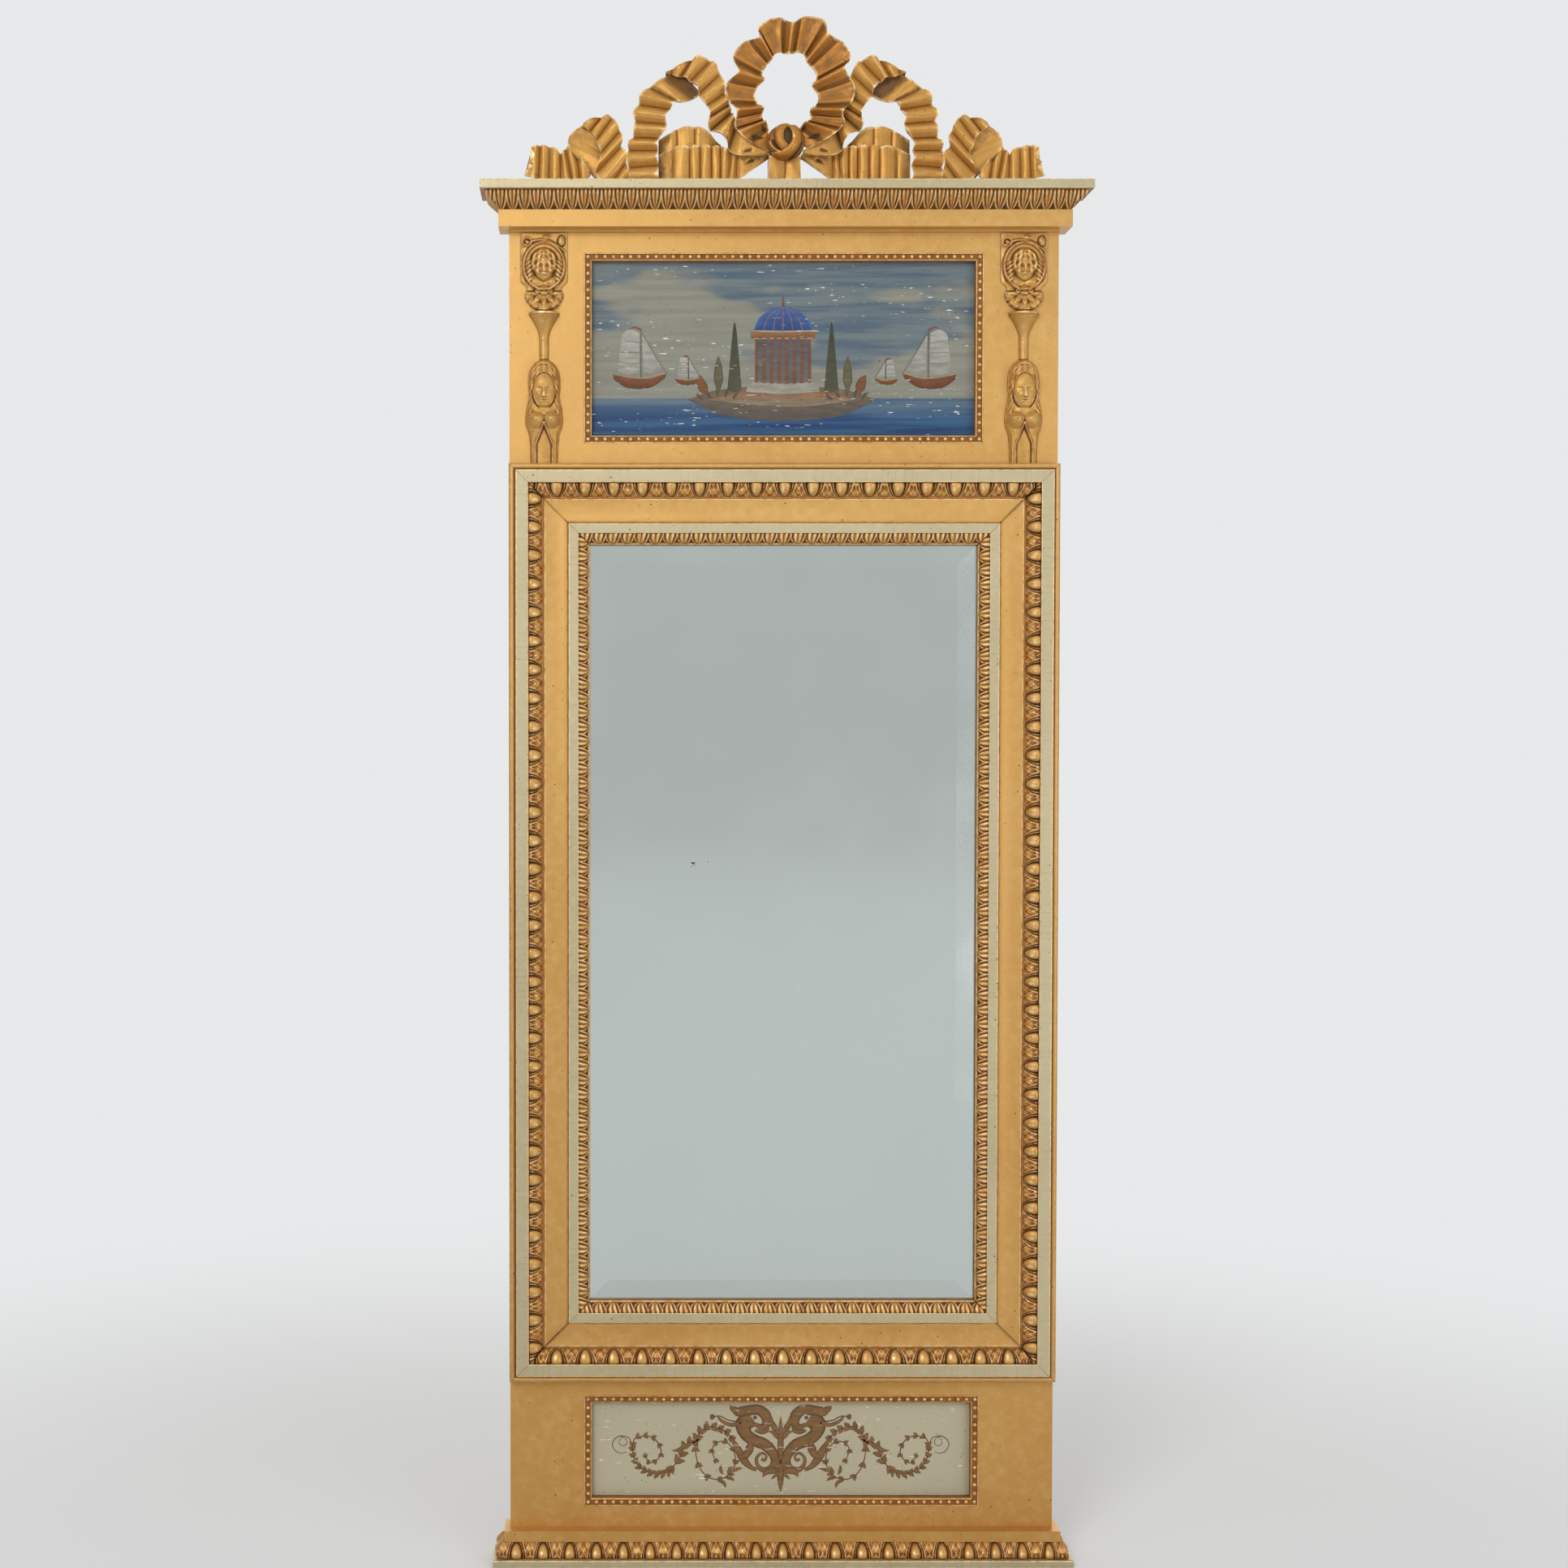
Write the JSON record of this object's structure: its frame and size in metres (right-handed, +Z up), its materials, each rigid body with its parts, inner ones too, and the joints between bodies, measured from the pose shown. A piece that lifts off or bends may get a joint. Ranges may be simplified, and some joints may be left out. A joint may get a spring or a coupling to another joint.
{
  "type": "pier mirror",
  "caption": "Tall gilded pier mirror: bevelled glass in a carved frame, a painted panel above and below it, and a cornice with a carved ribbon crest.",
  "frame": {"origin": "middle of the plinth's underside, on the middle line of the carcass and half-way through the plinth's depth", "axes": "+Z up, +Y towards the wall behind, so the looking glass faces -Y, and +X to the right of a person who looks into the glass"},
  "size_m": [0.746, 0.076, 1.904],
  "materials": {
    "gilt_wood": "carved wood, gilded and silvered, rubbed and crazed",
    "raw_pine": "bare sawn pine, aged",
    "painted_canvas": "thin board painted in matt colours",
    "looking_glass": "old bevelled looking glass, lightly foxed",
    "wrought_iron": "hand-forged iron, dark brown"
  },
  "bodies": {
    "mirror": {"plinth": "gilt_wood", "base_egg_moulding": "gilt_wood", "base_fascia": "gilt_wood", "stile_left": "gilt_wood", "stile_right": "gilt_wood", "rail_bottom": "gilt_wood", "rail_lower": "gilt_wood", "rail_upper": "gilt_wood", "rail_top": "gilt_wood", "painted_panel_lower": "painted_canvas", "painted_panel_upper": "painted_canvas", "backboard_lower": "raw_pine", "backboard_middle": "raw_pine", "backboard_upper": "raw_pine", "beaded_surround_lower": "gilt_wood", "beaded_surround_upper": "gilt_wood", "frame_moulding_top": "gilt_wood", "frame_moulding_bottom": "gilt_wood", "frame_moulding_left": "gilt_wood", "frame_moulding_right": "gilt_wood", "egg_moulding_top": "gilt_wood", "egg_moulding_bottom": "gilt_wood", "egg_moulding_left": "gilt_wood", "egg_moulding_right": "gilt_wood", "sight_moulding_top": "gilt_wood", "sight_moulding_bottom": "gilt_wood", "sight_moulding_left": "gilt_wood", "sight_moulding_right": "gilt_wood", "mirror_glass": "looking_glass", "glass_blocks": "raw_pine", "bed_fillet": "gilt_wood", "cornice_fascia": "gilt_wood", "leaf_moulding_front": "gilt_wood", "leaf_moulding_left": "gilt_wood", "leaf_moulding_right": "gilt_wood", "cornice_board": "gilt_wood", "cartouche_left": "gilt_wood", "cartouche_right": "gilt_wood", "trumpet_left": "gilt_wood", "trumpet_right": "gilt_wood", "herm_left": "gilt_wood", "herm_right": "gilt_wood", "crest_wreath": "gilt_wood", "crest_knot": "gilt_wood", "crest_stem": "gilt_wood", "crest_dowels": "raw_pine", "crest_bow_left": "gilt_wood", "crest_bow_right": "gilt_wood", "crest_drape_left": "gilt_wood", "crest_drape_right": "gilt_wood", "crest_curl_left": "gilt_wood", "crest_curl_right": "gilt_wood", "crest_tail_left": "gilt_wood", "crest_tail_right": "gilt_wood", "hanger_strap_left": "wrought_iron", "hanger_strap_right": "wrought_iron", "hanger_nails": "wrought_iron"},
    "hanger_ring_left": {"hanger_ring_left": "wrought_iron"},
    "hanger_ring_right": {"hanger_ring_right": "wrought_iron"}
  },
  "joints": [
    {"name": "hanger_ring_left_swing", "type": "hinge", "parent": "mirror", "child": "hanger_ring_left", "pos_m": [-0.15, 0.0258, 1.6625], "axis": [1, 0, 0], "range_deg": [0, 180]},
    {"name": "hanger_ring_right_swing", "type": "hinge", "parent": "mirror", "child": "hanger_ring_right", "pos_m": [0.15, 0.0258, 1.6625], "axis": [1, 0, 0], "range_deg": [0, 180]}
  ]
}
